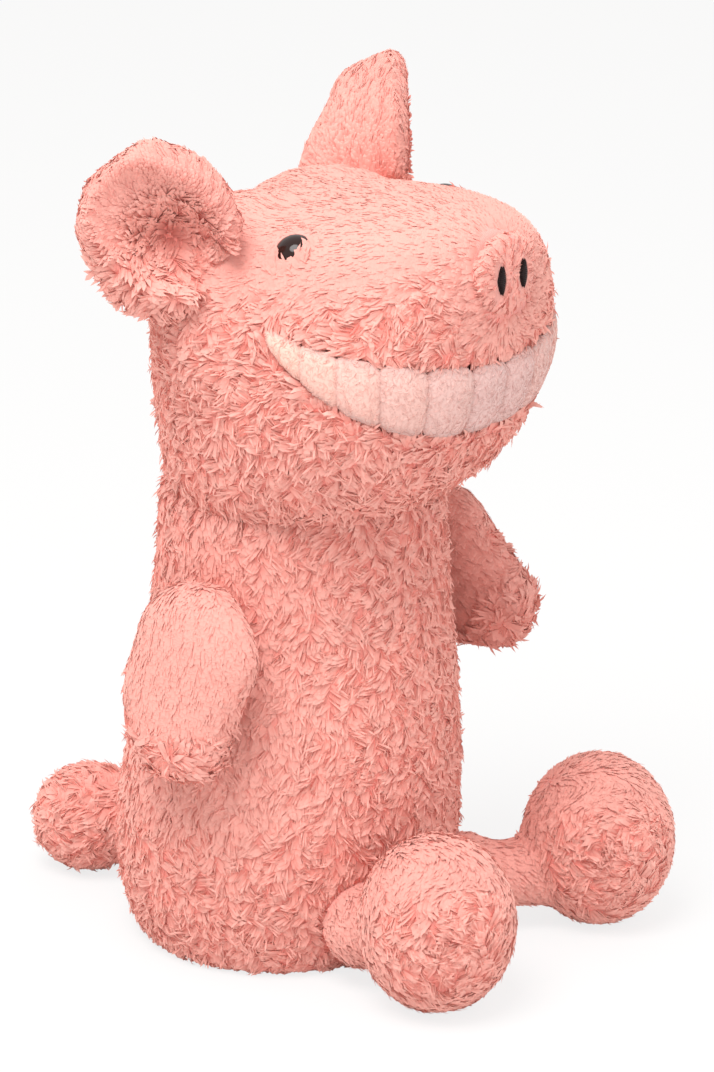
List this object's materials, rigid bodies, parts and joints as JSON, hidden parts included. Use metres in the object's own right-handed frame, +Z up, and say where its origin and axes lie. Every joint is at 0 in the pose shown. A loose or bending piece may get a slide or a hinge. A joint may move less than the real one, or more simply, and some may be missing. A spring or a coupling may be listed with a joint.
{
  "type": "plush pig",
  "caption": "Seated plush pig in long pink pile, with a wide blunt muzzle, a grin of padded cream teeth, cupped ears and jointed stuffed limbs",
  "frame": {"origin": "middle of the flat seat panel, on the surface the pig sits on", "axes": "+Z up; the pig looks along -Y; its left side is +X"},
  "size_m": [0.1724, 0.2021, 0.2757],
  "materials": {
    "pink_plush": "long-pile plush",
    "cream_plush": "short-pile plush",
    "lining_cloth": "woven cloth",
    "white_fibre": "loose polyester fibre",
    "pellet_cloth": "closed bag of plastic pellets",
    "dark_plastic": "moulded, glossy",
    "white_plastic": "moulded",
    "dark_thread": "satin stitch"
  },
  "bodies": {
    "torso": {"body_cover": "pink_plush", "body_filling": "white_fibre", "seat_panel": "pink_plush", "pellet_bag": "pellet_cloth"},
    "head": {"head_cover": "pink_plush", "head_filling": "white_fibre", "snout_disc": "pink_plush", "mouth_lining": "lining_cloth", "tooth_right_1": "cream_plush", "tooth_right_2": "cream_plush", "tooth_right_3": "cream_plush", "tooth_right_4": "cream_plush", "tooth_right_5": "cream_plush", "tooth_right_6": "cream_plush", "tooth_left_1": "cream_plush", "tooth_left_2": "cream_plush", "tooth_left_3": "cream_plush", "tooth_left_4": "cream_plush", "tooth_left_5": "cream_plush", "tooth_left_6": "cream_plush", "nostril_right": "dark_thread", "nostril_left": "dark_thread", "eye_right": "dark_plastic", "eye_left": "dark_plastic", "eye_washer_right": "white_plastic", "eye_washer_left": "white_plastic"},
    "ear_right": {"ear_right_back": "pink_plush", "ear_right_lining": "pink_plush"},
    "ear_left": {"ear_left_back": "pink_plush", "ear_left_lining": "pink_plush"},
    "arm_right": {"arm_right_cover": "pink_plush", "arm_right_filling": "white_fibre"},
    "arm_left": {"arm_left_cover": "pink_plush", "arm_left_filling": "white_fibre"},
    "leg_right": {"leg_right_cover": "pink_plush", "leg_right_filling": "white_fibre"},
    "leg_left": {"leg_left_cover": "pink_plush", "leg_left_filling": "white_fibre"},
    "tail": {"tail_cover": "pink_plush", "tail_filling": "white_fibre"}
  },
  "joints": [
    {"name": "head_turn", "type": "hinge", "parent": "torso", "child": "head", "pos_m": [0, -0.007, 0.15], "axis": [0, 0, 1], "range_deg": [-20, 20], "stiffness_Nm_per_rad": 0.3},
    {"name": "ear_right_fold", "type": "hinge", "parent": "head", "child": "ear_right", "pos_m": [-0.0459, -0.01228, 0.22879], "axis": [-0.4394, 0.3687, -0.8192], "range_deg": [-15, 15], "stiffness_Nm_per_rad": 0.02},
    {"name": "ear_left_fold", "type": "hinge", "parent": "head", "child": "ear_left", "pos_m": [0.04398, -0.00146, 0.22708], "axis": [-0.5868, -0.4924, 0.6428], "range_deg": [-15, 15], "stiffness_Nm_per_rad": 0.02},
    {"name": "arm_right_swing", "type": "hinge", "parent": "torso", "child": "arm_right", "pos_m": [-0.04783, -0.008, 0.118], "axis": [-0.9903, 0, 0.1392], "range_deg": [-30, 80], "stiffness_Nm_per_rad": 0.04},
    {"name": "arm_left_swing", "type": "hinge", "parent": "torso", "child": "arm_left", "pos_m": [0.04783, -0.008, 0.118], "axis": [-0.9903, 0, -0.1392], "range_deg": [-85, 25], "stiffness_Nm_per_rad": 0.04},
    {"name": "leg_right_lift", "type": "hinge", "parent": "torso", "child": "leg_right", "pos_m": [-0.025, -0.04986, 0.019], "axis": [-0.9962, 0.0872, 0], "range_deg": [-15, 15], "stiffness_Nm_per_rad": 0.08},
    {"name": "leg_left_lift", "type": "hinge", "parent": "torso", "child": "leg_left", "pos_m": [0.025, -0.04986, 0.019], "axis": [-0.6561, -0.7547, 0], "range_deg": [-20, 25], "stiffness_Nm_per_rad": 0.08},
    {"name": "tail_wag", "type": "hinge", "parent": "torso", "child": "tail", "pos_m": [0, 0.054, 0.024], "axis": [0, 0, 1], "range_deg": [-20, 20], "stiffness_Nm_per_rad": 0.02}
  ]
}
